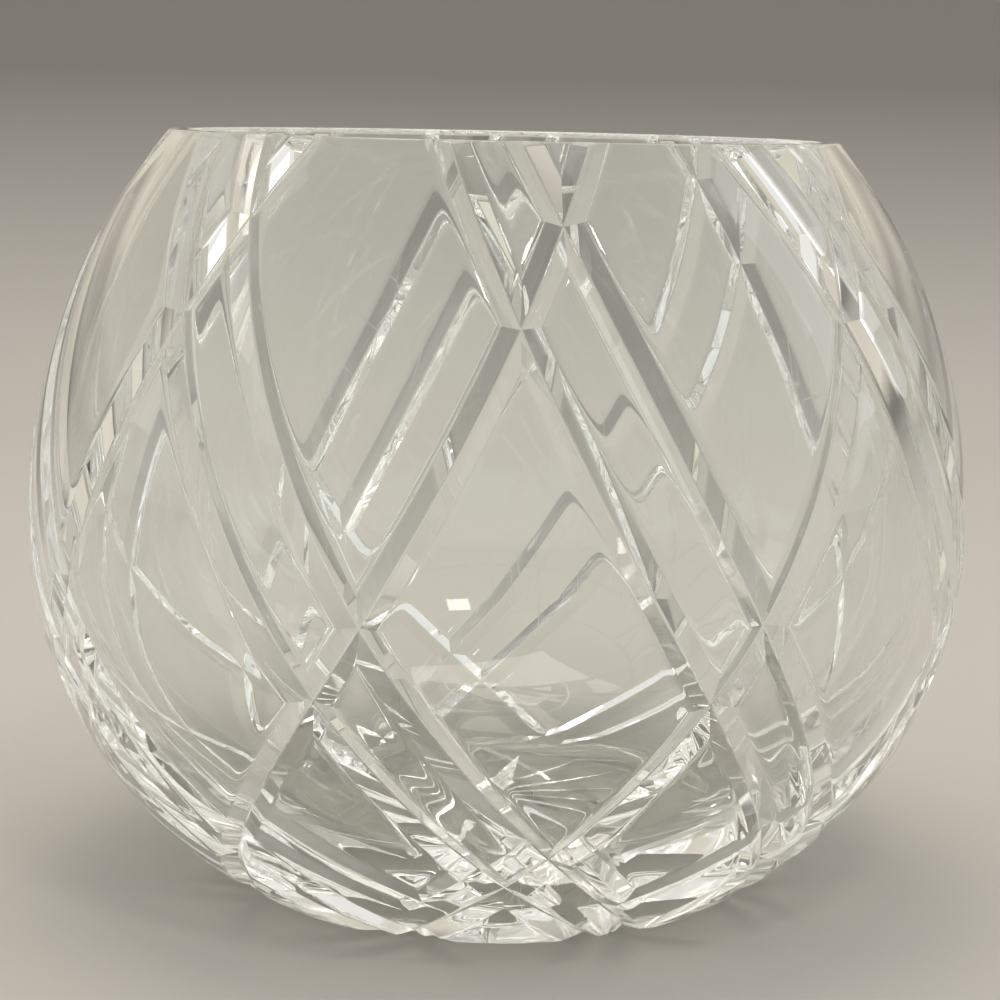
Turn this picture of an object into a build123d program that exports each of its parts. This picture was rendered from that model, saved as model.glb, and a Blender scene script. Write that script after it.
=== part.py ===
"""Cut-crystal rose bowl: one piece of clear glass, blown round and cut outside with mitre grooves.

The origin is the centre of the foot, +Z is up and the photographed front faces -Y. Sizes are in
millimetres and angles in degrees.
"""
from build123d import *
from math import acos, asin, cos, radians, sin
import os

# Outside of the bowl
HEIGHT = 160.0
BELLY_RADIUS = 100.0
BELLY_HEIGHT = 78.6
RIM_RADIUS = 70.5
FOOT_RADIUS = 53.0

# Thickness of the glass
BELLY_WALL = 7.0
RIM_WALL = 5.0
FLOOR_THICKNESS = 12.0
FLOOR_RADIUS = 48.0
FLOOR_FILLET = 14.0
RIM_EDGE_FILLET = 0.9
FOOT_EDGE_FILLET = 0.8

# Mitre grooves: in each repeat a pair leans one way and a single groove crosses it
REPEATS = 8
GROOVE_WIDTH = 7.5
GROOVE_DEPTH = 2.2
GROOVE_OVERCUT = 2.0
GROOVE_RUNOUT = 9.0
GROOVE_STATIONS = 10
PAIR_ANGLE = -72.8
PAIR_SPACING = 11.3
CROSS_ANGLE = -102.4
# Angle that a groove turns through along the wall, as a cubic in the distance from the belly
TWIST_RATE = 0.334
TWIST_EASING = -0.00112
TWIST_TAIL = 0.0000067

# Star cut under the foot
STAR_POINTS = 16
STAR_RADIUS = 36.0
STAR_NOTCH_RADIUS = 13.0
STAR_DEPTH = 3.0


def arc_radius(rise, inset):
    """Radius of an arc that starts upright and ends inset by so much after a rise."""
    return (rise * rise + inset * inset) / (2 * inset)


UPPER_ARC = arc_radius(HEIGHT - BELLY_HEIGHT, BELLY_RADIUS - RIM_RADIUS)
LOWER_ARC = arc_radius(BELLY_HEIGHT, BELLY_RADIUS - FOOT_RADIUS)
RIM_DISTANCE = UPPER_ARC * asin((HEIGHT - BELLY_HEIGHT) / UPPER_ARC)
FOOT_DISTANCE = LOWER_ARC * acos(1 - (BELLY_RADIUS - FOOT_RADIUS) / LOWER_ARC)


def groove_plane(distance, belly_angle, lean):
    """Plane square to a groove, x across it and y out of the glass, at a distance up the wall."""
    arc = UPPER_ARC if distance > 0 else LOWER_ARC
    slope = distance / arc
    radius = BELLY_RADIUS - arc + arc * cos(slope)
    height = BELLY_HEIGHT + arc * sin(slope)
    twist = TWIST_RATE * distance + TWIST_EASING * distance**2 + TWIST_TAIL * distance**3
    turn = radians(TWIST_RATE + 2 * TWIST_EASING * distance + 3 * TWIST_TAIL * distance**2)
    angle = belly_angle + lean * twist
    outward = Vector(1, 0, 0).rotate(Axis.Z, angle)
    sideways = Vector(0, 1, 0).rotate(Axis.Z, angle)
    upward = Vector(0, 0, 1)
    normal = outward * cos(slope) + upward * sin(slope)
    along = upward * cos(slope) - outward * sin(slope) + sideways * (lean * radius * turn)
    return Plane(outward * radius + upward * height, x_dir=normal.cross(along), z_dir=along)


def groove_cutter(belly_angle, lean):
    """V-section bar that follows the wall from below the foot to above the rim."""
    top = GROOVE_WIDTH / 2 * (1 + GROOVE_OVERCUT / GROOVE_DEPTH)
    start = -FOOT_DISTANCE - GROOVE_RUNOUT
    step = (RIM_DISTANCE + GROOVE_RUNOUT - start) / GROOVE_STATIONS
    with BuildPart() as cutter:
        for station in range(GROOVE_STATIONS + 1):
            with BuildSketch(groove_plane(start + station * step, belly_angle, lean)):
                with BuildLine():
                    Polyline((0, -GROOVE_DEPTH), (top, GROOVE_OVERCUT), (-top, GROOVE_OVERCUT), close=True)
                make_face()
        loft()
    return cutter.part


pair_first = groove_cutter(PAIR_ANGLE, -1)
pair_second = groove_cutter(PAIR_ANGLE + PAIR_SPACING, -1)
crossing = groove_cutter(CROSS_ANGLE, 1)

# Star pyramid: its points run out on the foot and its facets meet at the middle
with BuildPart() as foot_star:
    with BuildSketch() as star_outline:
        with BuildLine():
            corners = []
            for corner in range(2 * STAR_POINTS):
                reach = STAR_RADIUS if corner % 2 == 0 else STAR_NOTCH_RADIUS
                corners.append(Vector(reach, 0, 0).rotate(Axis.Z, corner * 180 / STAR_POINTS))
            Polyline(*corners, close=True)
        make_face()
    loft(sections=[star_outline.face(), Vertex(0, 0, STAR_DEPTH)], ruled=True)

with BuildPart() as glass_bowl:
    with BuildSketch(Plane.XZ) as wall:
        with BuildLine():
            inside_belly = BELLY_RADIUS - BELLY_WALL
            inside_rim = RIM_RADIUS - RIM_WALL
            Polyline((0, FLOOR_THICKNESS), (0, 0), (FOOT_RADIUS, 0))
            TangentArc((BELLY_RADIUS, BELLY_HEIGHT), (FOOT_RADIUS, 0), tangent=(0, -1))
            TangentArc((BELLY_RADIUS, BELLY_HEIGHT), (RIM_RADIUS, HEIGHT), tangent=(0, 1))
            Line((RIM_RADIUS, HEIGHT), (inside_rim, HEIGHT))
            TangentArc((inside_belly, BELLY_HEIGHT), (inside_rim, HEIGHT), tangent=(0, 1))
            TangentArc((inside_belly, BELLY_HEIGHT), (FLOOR_RADIUS, FLOOR_THICKNESS), tangent=(0, -1))
            Line((FLOOR_RADIUS, FLOOR_THICKNESS), (0, FLOOR_THICKNESS))
        make_face()
        fillet(wall.vertices().group_by(Axis.Y)[1].sort_by(Axis.X)[-1], FLOOR_FILLET)
        fillet(wall.vertices().group_by(Axis.Y)[0].sort_by(Axis.X)[-1], FOOT_EDGE_FILLET)
        fillet(wall.vertices().group_by(Axis.Y)[-1], RIM_EDGE_FILLET)
    revolve(axis=Axis.Z)
    with PolarLocations(0, REPEATS):
        add(pair_first, mode=Mode.SUBTRACT)
        add(pair_second, mode=Mode.SUBTRACT)
        add(crossing, mode=Mode.SUBTRACT)
    add(foot_star.part, mode=Mode.SUBTRACT)

os.makedirs("parts", exist_ok=True)
glass_bowl.part.label = "glass_bowl"
export_step(glass_bowl.part, "parts/glass_bowl.step")
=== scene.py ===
"""Looks of the cut-crystal rose bowl: the polished glass, a pale studio sweep, soft lamps and the camera.

+Z is up and the front faces -Y. The bowl's sizes are written in millimetres and turned to metres by MM; the studio's
sizes are in metres. Angles are in degrees.
"""
from math import acos, asin, atan2, cos, degrees, pi, radians, sin, sqrt, tan

import bmesh
import bpy
from mathutils import Matrix, Vector


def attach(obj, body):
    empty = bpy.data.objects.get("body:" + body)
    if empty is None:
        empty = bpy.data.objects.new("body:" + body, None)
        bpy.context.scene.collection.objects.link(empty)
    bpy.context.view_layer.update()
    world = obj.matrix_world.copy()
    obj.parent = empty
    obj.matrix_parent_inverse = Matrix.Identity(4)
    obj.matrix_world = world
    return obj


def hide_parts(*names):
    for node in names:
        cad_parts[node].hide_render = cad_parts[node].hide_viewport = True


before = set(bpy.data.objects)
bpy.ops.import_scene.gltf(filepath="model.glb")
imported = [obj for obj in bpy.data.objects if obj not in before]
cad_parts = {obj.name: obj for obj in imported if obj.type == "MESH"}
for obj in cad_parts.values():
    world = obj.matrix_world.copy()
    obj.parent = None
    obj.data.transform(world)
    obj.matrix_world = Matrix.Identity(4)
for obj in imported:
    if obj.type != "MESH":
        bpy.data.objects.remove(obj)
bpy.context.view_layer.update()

MM = 0.001

# Outside of the bowl, as its solid has it
HEIGHT = 160.0
BELLY_RADIUS = 100.0
BELLY_HEIGHT = 78.6
RIM_RADIUS = 70.5
FOOT_RADIUS = 53.0

# Thickness of the glass
BELLY_WALL = 7.0
RIM_WALL = 5.0
FLOOR_THICKNESS = 12.0
FLOOR_RADIUS = 48.0
FLOOR_FILLET = 14.0
RIM_EDGE_FILLET = 0.9
FOOT_EDGE_FILLET = 0.8

# Mitre grooves: in each repeat a pair leans one way and a single groove crosses it
REPEATS = 8
GROOVE_WIDTH = 7.5
GROOVE_DEPTH = 2.2
GROOVE_OVERCUT = 2.0
GROOVE_RUNOUT = 9.0
PAIR_ANGLE = -72.8
PAIR_SPACING = 11.3
CROSS_ANGLE = -102.4
# Angle that a groove turns through along the wall, as a cubic in the distance from the belly
TWIST_RATE = 0.334
TWIST_EASING = -0.00112
TWIST_TAIL = 0.0000067

# Polishing rounds the groove's bottom and its two edges, and eases the wall beside it. Each step of the easing has
# the tilt that it ends at, its radius and its number of facets
BOTTOM_ROUNDING = 0.6
EASING = ((15.0, 1.0, 2), (4.0, 5.5, 3), (1.2, 34.0, 3))
RUNOUT_WIDTH = 1.2

# Star cut under the foot
STAR_POINTS = 16
STAR_RADIUS = 36.0
STAR_NOTCH_RADIUS = 13.0
STAR_DEPTH = 3.0
STAR_OVERCUT = 1.0

# How finely the curves are divided: around the axis, along a groove, in its bottom, and along each arc of the wall
SEGMENTS_AROUND = 256
GROOVE_STATIONS = 64
BOTTOM_FACETS = 3
FLOOR_FILLET_FACETS = 8
INSIDE_LOWER_FACETS = 22
INSIDE_UPPER_FACETS = 26
INSIDE_RIM_FACETS = 6
OUTSIDE_RIM_FACETS = 5
OUTSIDE_UPPER_FACETS = 40
OUTSIDE_LOWER_FACETS = 46
FOOT_EDGE_FACETS = 4
BACKDROP_FACETS = 24

# Points nearer than this become one: where a shape is drawn, and after it is cut
DRAWN_MERGE = 0.01
CUT_MERGE = 0.001

# Studio paper: how far the floor reaches in front and to the sides, and the backdrop that it curves up to
FLOOR_REACH = 6.0
BACKDROP_DISTANCE = 1.6
BACKDROP_HEIGHT = 2.2
BACKDROP_CURVE = 0.9
# Shades of the paper and the heights where it has them: the floor is pale, the paper behind the bowl is deeper, and
# above that it is pale again
PAPER_SHADES = ((0.0, "#bebbb6"), (0.18, "#7e7b77"), (0.24, "#7e7b77"), (0.42, "#f6f0e2"))

# Camera: its place in metres, its lens and sensor in millimetres, and how it is turned
CAMERA_PLACE = (0, -0.5518, 0.1684)
CAMERA_NEAR_CLIP = 0.01
CAMERA_LENS = 93.03
CAMERA_SENSOR = 36.0
CAMERA_TURN = -0.0693
CAMERA_DOWN = 8.9127
CAMERA_ROLL = 1.2486

# Thick cut glass passes a ray through many walls before it leaves
LIGHT_BOUNCES = 32


def linear(hex_colour):
    """sRGB hex to the linear colour that a shader socket takes."""
    parts = [int(hex_colour[i:i + 2], 16) / 255 for i in (1, 3, 5)]
    return [c / 12.92 if c <= 0.04045 else ((c + 0.055) / 1.055) ** 2.4 for c in parts] + [1.0]


def add_node(tree, kind, settings=None, values=None, links=None):
    """One node with its settings, its sockets' values and what its sockets are linked from."""
    node = tree.nodes.new(kind)
    for name, value in (settings or {}).items():
        setattr(node, name, value)
    for name, value in (values or {}).items():
        node.inputs[name].default_value = value
    for name, source in (links or {}).items():
        tree.links.new(source, node.inputs[name])
    return node


def new_material(name):
    """Material with an empty node tree, and the tree."""
    material = bpy.data.materials.new(name)
    material.use_nodes = True
    material.node_tree.nodes.clear()
    return material, material.node_tree


def new_object(name, bm):
    """Object in the scene that takes over a bmesh."""
    mesh = bpy.data.meshes.new(name)
    bm.to_mesh(mesh)
    bm.free()
    piece = bpy.data.objects.new(name, mesh)
    bpy.context.scene.collection.objects.link(piece)
    return piece


def only_verts(items):
    """The vertices among the items that a bmesh operator returns."""
    return [item for item in items if isinstance(item, bmesh.types.BMVert)]


def arc_radius(rise, inset):
    """Radius of an arc that starts upright and ends inset by so much after a rise."""
    return (rise * rise + inset * inset) / (2 * inset)


UPPER_ARC = arc_radius(HEIGHT - BELLY_HEIGHT, BELLY_RADIUS - RIM_RADIUS)
LOWER_ARC = arc_radius(BELLY_HEIGHT, BELLY_RADIUS - FOOT_RADIUS)
RIM_DISTANCE = UPPER_ARC * asin((HEIGHT - BELLY_HEIGHT) / UPPER_ARC)
FOOT_DISTANCE = LOWER_ARC * acos(1 - (BELLY_RADIUS - FOOT_RADIUS) / LOWER_ARC)


def draw_line(bm, last, x, z):
    """Straight edge in the XZ plane from the last vertex; returns its new end."""
    end = bm.verts.new(Vector((x, 0, z)) * MM)
    bm.edges.new((last, end))
    facing = bm.verts.layers.float_vector["facing"]
    run = (end.co - last.co).normalized()
    last[facing] = end[facing] = Vector((-run.z, 0, run.x))
    return end


def draw_arc(bm, last, centre_x, centre_z, turn, steps):
    """Arc in the XZ plane from the last vertex about a centre, turning from X towards Z; returns its new end."""
    centre = Vector((centre_x, 0, centre_z)) * MM
    swept = bmesh.ops.spin(bm, geom=[last], cent=centre, axis=(0, -1, 0), angle=radians(turn), steps=steps)
    end = only_verts(swept["geom_last"])[0]
    facing = bm.verts.layers.float_vector["facing"]
    # The air is on the left of the way that a section is drawn
    side = -1 if turn > 0 else 1
    bm.verts.ensure_lookup_table()
    for vert in [last] + bm.verts[-steps:]:
        vert[facing] = (vert.co - centre).normalized() * side
    return end


def blend(arc_x, reach, height):
    """A fillet's centre at a height, and its direction, at a reach from the centre of a wall's arc."""
    rise = height - BELLY_HEIGHT
    across = sqrt(reach * reach - rise * rise)
    return arc_x + across, degrees(atan2(rise, across))


def wall_section(bm):
    """Half section of the wall in the XZ plane, drawn from the floor up, over the rim and down to the foot."""
    inside_belly = BELLY_RADIUS - BELLY_WALL
    inside_upper = arc_radius(HEIGHT - BELLY_HEIGHT, inside_belly - RIM_RADIUS + RIM_WALL)
    inside_lower = arc_radius(BELLY_HEIGHT - FLOOR_THICKNESS, inside_belly - FLOOR_RADIUS)
    # The four arcs' centres lie at the belly's height
    inside_upper_x = inside_belly - inside_upper
    inside_lower_x = inside_belly - inside_lower
    outside_upper_x = BELLY_RADIUS - UPPER_ARC
    outside_lower_x = BELLY_RADIUS - LOWER_ARC
    floor_z = FLOOR_THICKNESS + FLOOR_FILLET
    rim_z = HEIGHT - RIM_EDGE_FILLET
    foot_z = FOOT_EDGE_FILLET
    floor_x, floor_turn = blend(inside_lower_x, inside_lower - FLOOR_FILLET, floor_z)
    lip_x, lip_turn = blend(inside_upper_x, inside_upper + RIM_EDGE_FILLET, rim_z)
    rim_x, rim_turn = blend(outside_upper_x, UPPER_ARC - RIM_EDGE_FILLET, rim_z)
    foot_x, foot_turn = blend(outside_lower_x, LOWER_ARC - FOOT_EDGE_FILLET, foot_z)

    bm.verts.layers.float_vector.new("facing")
    last = bm.verts.new(Vector((0, 0, FLOOR_THICKNESS)) * MM)
    last = draw_line(bm, last, floor_x, FLOOR_THICKNESS)
    last = draw_arc(bm, last, floor_x, floor_z, 90 + floor_turn, FLOOR_FILLET_FACETS)
    last = draw_arc(bm, last, inside_lower_x, BELLY_HEIGHT, -floor_turn, INSIDE_LOWER_FACETS)
    last = draw_arc(bm, last, inside_upper_x, BELLY_HEIGHT, lip_turn, INSIDE_UPPER_FACETS)
    last = draw_arc(bm, last, lip_x, rim_z, -90 - lip_turn, INSIDE_RIM_FACETS)
    last = draw_line(bm, last, rim_x, HEIGHT)
    last = draw_arc(bm, last, rim_x, rim_z, rim_turn - 90, OUTSIDE_RIM_FACETS)
    last = draw_arc(bm, last, outside_upper_x, BELLY_HEIGHT, -rim_turn, OUTSIDE_UPPER_FACETS)
    last = draw_arc(bm, last, outside_lower_x, BELLY_HEIGHT, foot_turn, OUTSIDE_LOWER_FACETS)
    last = draw_arc(bm, last, foot_x, foot_z, -90 - foot_turn, FOOT_EDGE_FACETS)
    draw_line(bm, last, 0, 0)


def keep_facings(bm):
    """Moves each vertex's facing to its face corners, where it outlasts the cutting."""
    facing = bm.verts.layers.float_vector["facing"]
    ground = bm.loops.layers.float_vector.new("ground")
    for face in bm.faces:
        for corner in face.loops:
            corner[ground] = corner.vert[facing]


def blown_bowl():
    """The bowl before cutting: its section spun round the axis."""
    bm = bmesh.new()
    wall_section(bm)
    bmesh.ops.spin(
        bm, geom=bm.verts[:] + bm.edges[:], cent=(0, 0, 0), axis=(0, 0, 1),
        angle=2 * pi, steps=SEGMENTS_AROUND, use_merge=True
    )
    bmesh.ops.remove_doubles(bm, verts=bm.verts[:], dist=DRAWN_MERGE * MM)
    bmesh.ops.recalc_face_normals(bm, faces=bm.faces[:])
    keep_facings(bm)
    return new_object("crystal_bowl", bm)


def groove_station(distance, belly_angle, lean):
    """Plane square to a groove at a distance up the wall, x across it and z out of the glass, and the wall's
    curvature across it."""
    arc = UPPER_ARC if distance > 0 else LOWER_ARC
    slope = distance / arc
    radius = BELLY_RADIUS - arc + arc * cos(slope)
    height = BELLY_HEIGHT + arc * sin(slope)
    twist = TWIST_RATE * distance + TWIST_EASING * distance**2 + TWIST_TAIL * distance**3
    turn = radians(TWIST_RATE + 2 * TWIST_EASING * distance + 3 * TWIST_TAIL * distance**2)
    around = Matrix.Rotation(radians(belly_angle + lean * twist), 3, "Z")
    outward = around @ Vector((1, 0, 0))
    sideways = around @ Vector((0, 1, 0))
    upward = Vector((0, 0, 1))
    normal = outward * cos(slope) + upward * sin(slope)
    along = (upward * cos(slope) - outward * sin(slope) + sideways * (lean * radius * turn)).normalized()
    across = normal.cross(along)
    basis = Matrix((across, -along, normal)).transposed().to_4x4()
    level = across.dot(sideways) ** 2
    curvature = level * cos(slope) / radius + (1 - level) / arc
    return Matrix.Translation((outward * radius + upward * height) * MM) @ basis, curvature / MM


def groove_section(bm):
    """Closed section of a groove in a flat wall, in the XZ plane: rounded bottom, flat flanks, rounded edges, and
    shoulders that ease into the wall."""
    facing = bm.verts.layers.float_vector.new("facing")
    seat = bm.verts.layers.float_vector.new("seat")
    lean = bm.verts.layers.float_vector.new("lean")
    flank = degrees(atan2(GROOVE_DEPTH, GROOVE_WIDTH / 2))
    tilts = [flank] + [tilt for tilt, _, _ in EASING]
    rise = sum(
        radius * (cos(radians(tilt)) - cos(radians(before)))
        for before, (tilt, radius, _) in zip(tilts, EASING)
    )
    nose = BOTTOM_ROUNDING / cos(radians(flank)) - GROOVE_DEPTH
    last = bm.verts.new(Vector((0, 0, nose - BOTTOM_ROUNDING)) * MM)
    last = draw_arc(bm, last, 0, nose, flank, BOTTOM_FACETS)
    last = draw_line(bm, last, (GROOVE_DEPTH - rise) / tan(radians(flank)), -rise)
    reaches = []
    for before, (tilt, radius, steps) in zip(tilts, EASING):
        centre_x = last.co.x / MM + radius * sin(radians(before))
        centre_z = last.co.z / MM - radius * cos(radians(before))
        last = draw_arc(bm, last, centre_x, centre_z, tilt - before, steps)
        reaches.append(last.co.x)
    # Shading turns fully to the wall's own facing where the shoulder reaches the wall
    for vert in bm.verts:
        if vert.co.x > reaches[0] - CUT_MERGE * MM:
            left = (reaches[-1] - vert.co.x) / (reaches[-1] - reaches[0])
            eased = radians(tilts[1] * left**3)
            vert[facing] = Vector((-sin(eased), 0, cos(eased)))
    end = bm.verts.new(last.co + Vector((1, 0, tan(radians(tilts[-1])))) * RUNOUT_WIDTH * MM)
    end[facing] = Vector((0, 0, 1))
    top = bm.verts.new(Vector((end.co.x, 0, GROOVE_OVERCUT * MM)))
    bm.edges.new((last, end))
    bm.edges.new((end, top))

    bmesh.ops.mirror(bm, geom=bm.verts[:] + bm.edges[:], axis="X", merge_dist=DRAWN_MERGE * MM)
    bm.edges.new([vert for vert in bm.verts if len(vert.link_edges) == 1])
    for vert in bm.verts:
        vert[seat] = vert.co
        vert[lean] = vert[facing] if vert.co.x > 0 else vert[facing] * Vector((-1, 1, 1))


def seat_section(bm, verts, place, curvature):
    """Sets a groove's section in a station's plane, bent to the curve of the wall there."""
    facing = bm.verts.layers.float_vector["facing"]
    seat = bm.verts.layers.float_vector["seat"]
    lean = bm.verts.layers.float_vector["lean"]
    for vert in verts:
        x, _, z = vert[seat]
        bend = curvature * x
        vert.co = place @ Vector((x, 0, z - bend * x / 2))
        ground = place.to_3x3() @ Matrix.Rotation(bend, 3, "Y") @ vert[lean]
        vert[facing] = Matrix.Rotation(-atan2(vert.co.y, vert.co.x), 3, "Z") @ ground


def groove_cutters(name, belly_angle, lean):
    """V-section bars that follow the wall from below the foot to above the rim, one for each repeat."""
    bm = bmesh.new()
    groove_section(bm)
    verts = bm.verts[:]
    edges = bm.edges[:]
    start = -FOOT_DISTANCE - GROOVE_RUNOUT
    step = (RIM_DISTANCE + GROOVE_RUNOUT - start) / GROOVE_STATIONS
    seat_section(bm, verts, *groove_station(start, belly_angle, lean))
    for station in range(1, GROOVE_STATIONS + 1):
        grown = bmesh.ops.extrude_edge_only(bm, edges=edges)["geom"]
        edges = [item for item in grown if isinstance(item, bmesh.types.BMEdge)]
        seat_section(bm, only_verts(grown), *groove_station(start + station * step, belly_angle, lean))
    bmesh.ops.holes_fill(bm, edges=[edge for edge in bm.edges if edge.is_boundary])
    bmesh.ops.recalc_face_normals(bm, faces=bm.faces[:])
    bmesh.ops.spin(
        bm, geom=bm.verts[:] + bm.edges[:] + bm.faces[:], cent=(0, 0, 0), axis=(0, 0, 1),
        angle=2 * pi * (REPEATS - 1) / REPEATS, steps=REPEATS - 1, use_duplicate=True
    )
    bmesh.ops.recalc_face_normals(bm, faces=bm.faces[:])
    keep_facings(bm)
    return new_object(name, bm)


def star_cutter():
    """Star pyramid: its points run out on the foot and its facets meet at the middle."""
    bm = bmesh.new()
    bmesh.ops.create_cone(
        bm, cap_ends=True, segments=2 * STAR_POINTS, radius1=STAR_RADIUS * MM, radius2=0, depth=STAR_DEPTH * MM
    )
    bmesh.ops.translate(bm, vec=(0, 0, STAR_DEPTH / 2 * MM), verts=bm.verts[:])
    corners = [vert for vert in bm.verts if vert.co.xy.length > MM]
    corners.sort(key=lambda vert: atan2(vert.co.y, vert.co.x))
    inset = STAR_NOTCH_RADIUS / STAR_RADIUS
    bmesh.ops.scale(bm, vec=(inset, inset, 1), verts=corners[1::2])
    # The pyramid goes on below the foot, so its facets cross the foot on the star's own outline
    overcut = (STAR_DEPTH + STAR_OVERCUT) / STAR_DEPTH
    peak = Matrix.Translation((0, 0, -STAR_DEPTH * MM))
    bmesh.ops.scale(bm, vec=(overcut, overcut, overcut), space=peak, verts=bm.verts[:])
    bmesh.ops.recalc_face_normals(bm, faces=bm.faces[:])
    return new_object("star_cutter", bm)


def take_facings(bm):
    """How each face corner was ground, turned round the axis to its place; the star's facets stay flat."""
    ground = bm.loops.layers.float_vector["ground"]
    facings = []
    for face in bm.faces:
        face.smooth = True
        for corner in face.loops:
            place = corner.vert.co
            drawn = Matrix.Rotation(atan2(place.y, place.x), 3, "Z") @ corner[ground]
            # Only the star has no drawn facing
            facings.append(drawn.normalized() if drawn.length > 0.5 else face.normal.copy())
    bm.loops.layers.float_vector.remove(ground)
    return facings


def cut_bowl():
    """The bowl with its grooves and star cut out, each surface shaded as it was ground."""
    bowl = blown_bowl()
    cutters = [
        groove_cutters("first_of_pair", PAIR_ANGLE, -1),
        groove_cutters("second_of_pair", PAIR_ANGLE + PAIR_SPACING, -1),
        groove_cutters("crossing", CROSS_ANGLE, 1),
        star_cutter(),
    ]
    for cutter in cutters:
        cut = bowl.modifiers.new(cutter.name, "BOOLEAN")
        cut.operation = "DIFFERENCE"
        cut.solver = "MANIFOLD"
        cut.object = cutter
    evaluated = bowl.evaluated_get(bpy.context.evaluated_depsgraph_get())
    bm = bmesh.new()
    bm.from_mesh(evaluated.to_mesh())
    bowl.modifiers.clear()
    for cutter in cutters:
        bpy.data.meshes.remove(cutter.data)
    bmesh.ops.remove_doubles(bm, verts=bm.verts[:], dist=CUT_MERGE * MM)
    bmesh.ops.dissolve_degenerate(bm, edges=bm.edges[:], dist=CUT_MERGE * MM)
    bmesh.ops.delete(bm, geom=[edge for edge in bm.edges if edge.is_wire], context="EDGES")
    facings = take_facings(bm)
    bm.to_mesh(bowl.data)
    bm.free()
    bowl.data.normals_split_custom_set(facings)
    return bowl


def lead_crystal():
    """Lead crystal, blown, cut and polished: colourless, mirror-smooth and heavy, so its edges flash."""
    material, tree = new_material("lead_crystal_polished")
    place = add_node(tree, "ShaderNodeTexCoord")
    # Handling leaves a faint uneven film, in patches about 25 mm across
    film = add_node(
        tree, "ShaderNodeTexNoise", values={"Scale": 40.0, "Detail": 4.0, "Roughness": 0.6},
        links={"Vector": place.outputs["Object"]}
    )
    gloss = add_node(
        tree, "ShaderNodeMapRange",
        values={"From Min": 0.45, "From Max": 0.8, "To Min": 0.0, "To Max": 0.05},
        links={"Value": film.outputs["Fac"]}
    )
    # Use leaves hair-fine scratches, some millimetres long, where the film is thick
    steep = add_node(
        tree, "ShaderNodeMapping", values={"Rotation": (0.5, 0.3, 0.8), "Scale": (1.0, 1.0, 0.12)},
        links={"Vector": place.outputs["Object"]}
    )
    cells = add_node(
        tree, "ShaderNodeTexVoronoi", settings={"feature": "DISTANCE_TO_EDGE"}, values={"Scale": 160.0},
        links={"Vector": steep.outputs["Vector"]}
    )
    scratches = add_node(
        tree, "ShaderNodeMapRange", values={"From Min": 0.0, "From Max": 0.012, "To Min": 0.3, "To Max": 0.0},
        links={"Value": cells.outputs["Distance"]}
    )
    worn = add_node(
        tree, "ShaderNodeMapRange", values={"From Min": 0.5, "From Max": 0.65},
        links={"Value": film.outputs["Fac"]}
    )
    wear = add_node(
        tree, "ShaderNodeMath", settings={"operation": "MULTIPLY_ADD"},
        links={0: scratches.outputs["Result"], 1: worn.outputs["Result"], 2: gloss.outputs["Result"]}
    )
    # Blowing leaves slow waves in the wall, about 30 mm long and some hundredths of a millimetre high
    waves = add_node(
        tree, "ShaderNodeTexNoise", values={"Scale": 32.0, "Detail": 1.0},
        links={"Vector": place.outputs["Object"]}
    )
    waviness = add_node(
        tree, "ShaderNodeBump", values={"Strength": 1.0, "Distance": 0.00012},
        links={"Height": waves.outputs["Fac"]}
    )
    glass = add_node(
        tree, "ShaderNodeBsdfPrincipled",
        values={"Base Color": linear("#fbfdfb"), "IOR": 1.545, "Transmission Weight": 1.0},
        links={"Roughness": wear.outputs["Value"], "Normal": waviness.outputs["Normal"]}
    )
    add_node(tree, "ShaderNodeOutputMaterial", links={"Surface": glass.outputs["BSDF"]})
    return material


def graduated_paper():
    """Matt studio paper, graduated by height, so that the cut facets, which look past the floor, stand out from the
    plain wall."""
    material, tree = new_material("graduated_matt_paper")
    place = add_node(tree, "ShaderNodeTexCoord")
    split = add_node(tree, "ShaderNodeSeparateXYZ", links={"Vector": place.outputs["Object"]})
    top_height = PAPER_SHADES[-1][0]
    rise = add_node(
        tree, "ShaderNodeMapRange", values={"From Min": 0.0, "From Max": top_height},
        links={"Value": split.outputs["Z"]}
    )
    shade = add_node(tree, "ShaderNodeValToRGB", links={"Fac": rise.outputs["Result"]})
    stops = shade.color_ramp.elements
    stops[0].color = linear(PAPER_SHADES[0][1])
    stops[1].color = linear(PAPER_SHADES[-1][1])
    for height, colour in PAPER_SHADES[1:-1]:
        stops.new(height / top_height).color = linear(colour)
    paper = add_node(
        tree, "ShaderNodeBsdfPrincipled", values={"Roughness": 0.9}, links={"Base Color": shade.outputs["Color"]}
    )
    add_node(tree, "ShaderNodeOutputMaterial", links={"Surface": paper.outputs["BSDF"]})
    return material


def studio_sweep():
    """Plain pale floor that curves up into a backdrop behind the bowl."""
    bm = bmesh.new()
    near = bm.verts.new((-FLOOR_REACH, -FLOOR_REACH, 0))
    corner = bm.verts.new((-FLOOR_REACH, BACKDROP_DISTANCE, 0))
    top = bm.verts.new((-FLOOR_REACH, BACKDROP_DISTANCE, BACKDROP_HEIGHT))
    bm.edges.new((near, corner))
    bm.edges.new((corner, top))
    bmesh.ops.bevel(
        bm, geom=[corner], offset=BACKDROP_CURVE, segments=BACKDROP_FACETS, profile=0.5, affect="VERTICES",
        material=-1
    )
    grown = bmesh.ops.extrude_edge_only(bm, edges=bm.edges[:])["geom"]
    bmesh.ops.translate(bm, vec=(2 * FLOOR_REACH, 0, 0), verts=only_verts(grown))
    bmesh.ops.recalc_face_normals(bm, faces=bm.faces[:])
    sweep = new_object("studio_sweep", bm)
    for face in sweep.data.polygons:
        face.use_smooth = True
    sweep.data.materials.append(graduated_paper())
    return sweep


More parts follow.
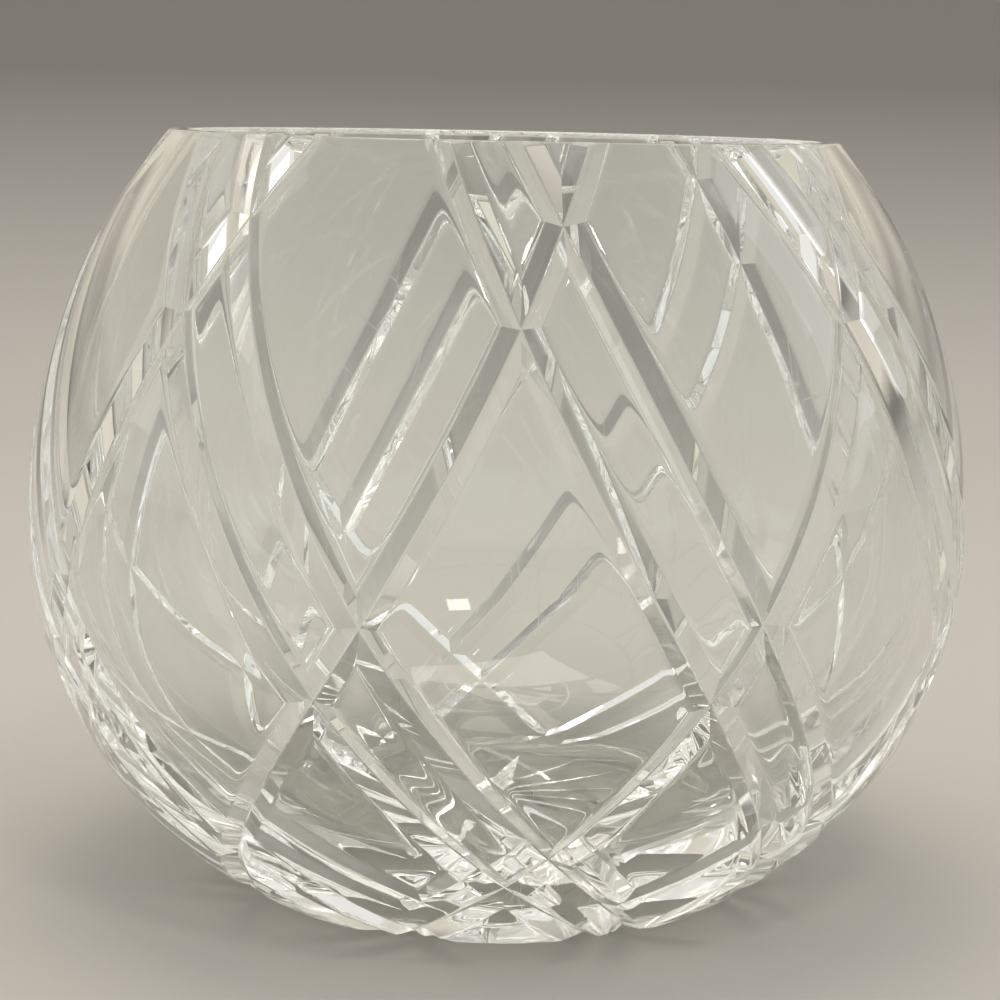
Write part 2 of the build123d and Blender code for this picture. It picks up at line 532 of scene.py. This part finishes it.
def soft_lamp(name, place, aim, width, height, watts, colour):
    """Rectangular soft box that faces a point."""
    lamp = bpy.data.lights.new(name, "AREA")
    lamp.shape = "RECTANGLE"
    lamp.size = width
    lamp.size_y = height
    lamp.energy = watts
    lamp.color = linear(colour)[:3]
    box = bpy.data.objects.new(name, lamp)
    box.location = place
    box.rotation_euler = (Vector(aim) - Vector(place)).to_track_quat("-Z", "Y").to_euler()
    bpy.context.scene.collection.objects.link(box)


def studio_light():
    """Soft panels above and at the sides, in an even, bright room."""
    soft_lamp(
        "sky_panel", place=(-0.05, 0.12, 1.1), aim=(0, 0, 0.05), width=0.6, height=0.6,
        watts=3.0, colour="#fff4e0"
    )
    soft_lamp(
        "left_panel", place=(-1.05, 0.1, 0.7), aim=(0, 0, 0.08), width=0.35, height=1.0,
        watts=0.9, colour="#fff4e6"
    )
    soft_lamp(
        "right_panel", place=(1.05, 0.1, 0.7), aim=(0, 0, 0.08), width=0.3, height=0.9,
        watts=0.8, colour="#f4f4ff"
    )
    # A small panel in front gives the glint on the inside of the far wall
    soft_lamp(
        "front_panel", place=(0.22, -0.78, 1.1), aim=(0, 0, 0.05), width=0.13, height=0.13,
        watts=1.3, colour="#fff8ee"
    )
    world = bpy.data.worlds.new("studio_air")
    bpy.context.scene.world = world
    world.use_nodes = True
    air = world.node_tree.nodes["Background"]
    air.inputs["Color"].default_value = linear("#fbf9f5")
    air.inputs["Strength"].default_value = 0.9


def front_camera():
    """Camera just above the rim, looking down a little at the front."""
    camera = bpy.data.objects.new("camera", bpy.data.cameras.new("camera"))
    camera.data.sensor_width = CAMERA_SENSOR
    camera.data.lens = CAMERA_LENS
    camera.data.clip_start = CAMERA_NEAR_CLIP
    camera.matrix_world = (
        Matrix.Translation(CAMERA_PLACE)
        @ Matrix.Rotation(radians(CAMERA_TURN), 4, "Z")
        @ Matrix.Rotation(radians(90 - CAMERA_DOWN), 4, "X")
        @ Matrix.Rotation(radians(CAMERA_ROLL), 4, "Z")
    )
    bpy.context.scene.collection.objects.link(camera)
    bpy.context.scene.camera = camera


bowl = cut_bowl()
bowl.data.materials.clear()
bowl.data.materials.append(lead_crystal())
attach(bowl, "root")
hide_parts("glass_bowl")

studio_sweep()
studio_light()
front_camera()
bpy.context.scene.view_settings.view_transform = "Standard"
bpy.context.scene.cycles.max_bounces = LIGHT_BOUNCES
bpy.context.scene.cycles.transmission_bounces = LIGHT_BOUNCES
bpy.context.scene.cycles.glossy_bounces = LIGHT_BOUNCES
